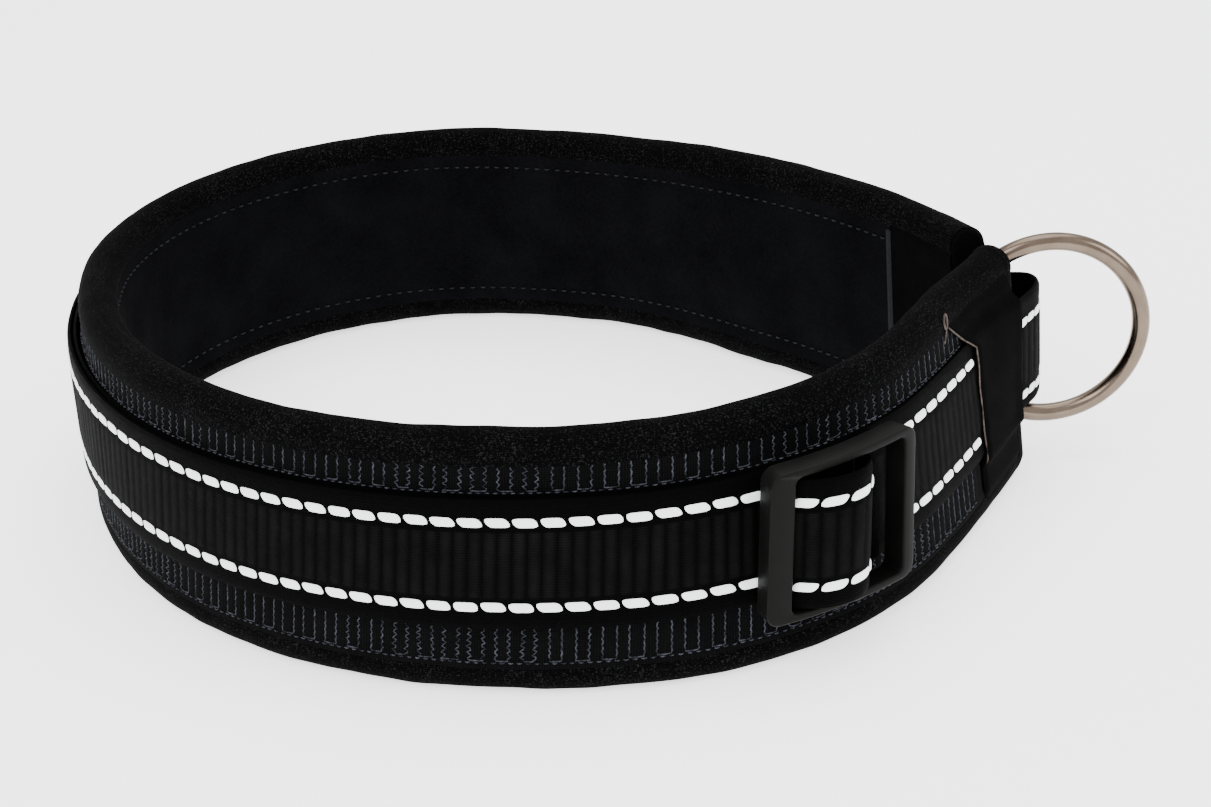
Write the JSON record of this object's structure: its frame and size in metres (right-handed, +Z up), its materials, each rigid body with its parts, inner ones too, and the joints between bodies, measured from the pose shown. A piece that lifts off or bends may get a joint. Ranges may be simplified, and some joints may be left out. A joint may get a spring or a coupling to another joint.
{
  "type": "martingale collar",
  "caption": "Wide padded martingale dog collar: soft oval band, webbing strap with tri-glide slider, and a control loop holding a leash ring.",
  "frame": {"origin": "bottom centre of the collar's box, on the surface the band's lower edge stands on", "axes": "+Z up, +X towards the leash ring, +Y towards the far side of the band"},
  "size_m": [0.2296, 0.1903, 0.05],
  "materials": {
    "lining_cloth": "matt brushed",
    "foam": "matt closed-cell",
    "facing_cloth": "matt knit with coverstitch",
    "edge_knit": "matt fine knit",
    "binding_cloth": "matt",
    "keeper_webbing": "matt",
    "webbing": "ribbed, slight sheen, with white reflective yarn",
    "slider_plastic": "satin moulded",
    "ring_nickel": "satin nickel plate"
  },
  "bodies": {
    "front_arm": {"inner_lining_front": "lining_cloth", "foam_core_front": "foam", "outer_facing_front": "facing_cloth", "top_edge_roll_front": "edge_knit", "bottom_edge_roll_front": "edge_knit", "end_binding_front": "binding_cloth", "end_keeper_front": "keeper_webbing", "main_strap_front": "webbing", "tail_strap_front": "webbing"},
    "back_arm": {"inner_lining_back": "lining_cloth", "foam_core_back": "foam", "outer_facing_back": "facing_cloth", "top_edge_roll_back": "edge_knit", "bottom_edge_roll_back": "edge_knit", "end_binding_back": "binding_cloth", "end_keeper_back": "keeper_webbing", "main_strap_back": "webbing", "tail_strap_back": "webbing", "tail_keeper": "keeper_webbing"},
    "loop": {"control_loop": "webbing"},
    "ring": {"leash_ring": "ring_nickel"},
    "slider": {"slider_frame": "slider_plastic", "slider_strap_fold": "webbing", "slider_strap_wrap": "webbing"}
  },
  "joints": [
    {"name": "band_flex", "type": "hinge", "parent": "front_arm", "child": "back_arm", "pos_m": [-0.11512, 0.0216, 0.027], "axis": [0, 0, 1], "range_deg": [0, 8]},
    {"name": "loop_follow", "type": "hinge", "parent": "front_arm", "child": "loop", "pos_m": [-0.11512, 0.0216, 0.027], "axis": [0, 0, 1], "range_deg": [0, 4]},
    {"name": "ring_swing", "type": "hinge", "parent": "loop", "child": "ring", "pos_m": [0.07412, -0.0108, 0.0285], "axis": [0, 0, 1], "range_deg": [-12, 12]},
    {"name": "slider_adjust", "type": "hinge", "parent": "front_arm", "child": "slider", "pos_m": [0.00158, -0.0214, 0.027], "axis": [0, 0, 1], "range_deg": [-14, 8]}
  ],
  "couplings": [
    {"joint": "loop_follow", "follows": "band_flex", "ratio": 0.5}
  ]
}
